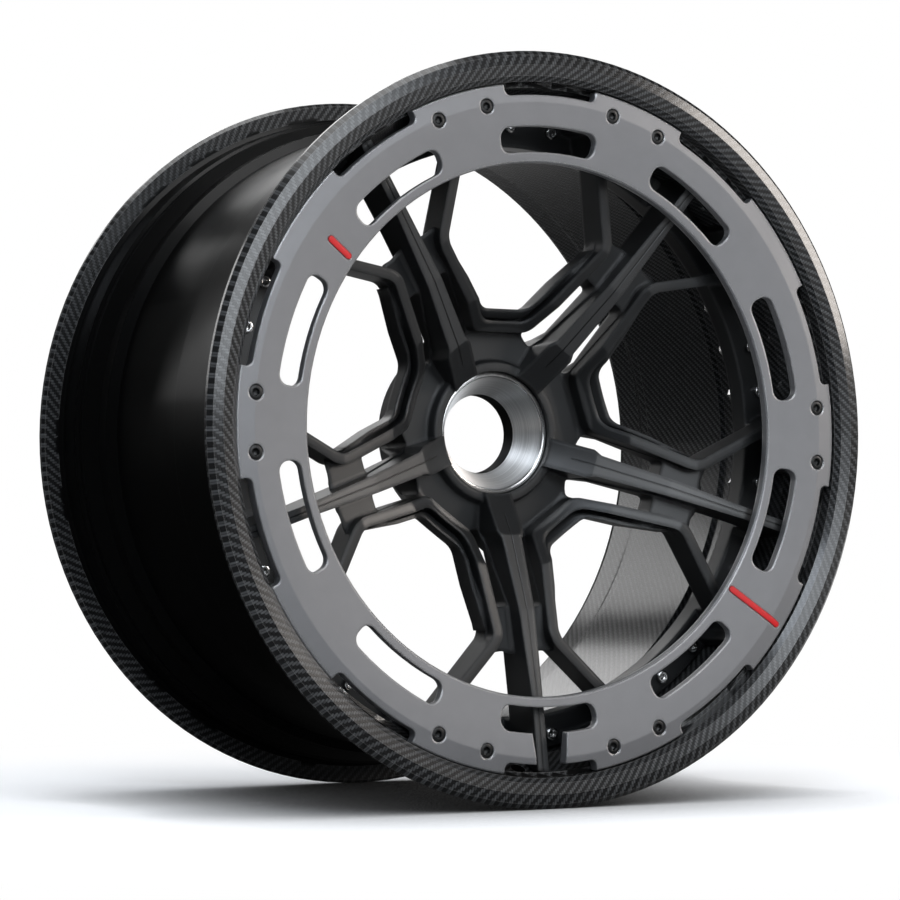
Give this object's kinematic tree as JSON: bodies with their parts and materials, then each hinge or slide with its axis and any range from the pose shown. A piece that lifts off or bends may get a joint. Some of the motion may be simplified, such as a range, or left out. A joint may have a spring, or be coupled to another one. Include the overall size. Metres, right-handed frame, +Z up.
{
  "type": "wheel",
  "caption": "Built-up centre-lock car wheel: carbon-fibre barrel, forged trident-spoke centre, screwed face ring and turned hub insert.",
  "frame": {"origin": "on the wheel's spin axis, midway between the outer faces of the two lips", "axes": "+Y is the spin axis and points to the rear of the wheel, the face looks toward -Y, +Z is up with the face ring's wide channel at the bottom"},
  "size_m": [0.568, 0.3268, 0.568],
  "materials": {
    "carbon_barrel": "gloss",
    "forged_centre": "satin",
    "ring_metal": "satin",
    "turned_metal": "brushed",
    "black_screw": "satin",
    "bright_bolt": "polished",
    "red_key": "gloss"
  },
  "bodies": {
    "root": {"barrel": "carbon_barrel", "spoke_centre": "forged_centre", "face_ring": "ring_metal", "hub_insert": "turned_metal", "ring_screws": "black_screw", "flange_bolts": "bright_bolt", "flange_nuts": "bright_bolt", "short_key": "red_key", "long_key": "red_key"}
  },
  "joints": []
}
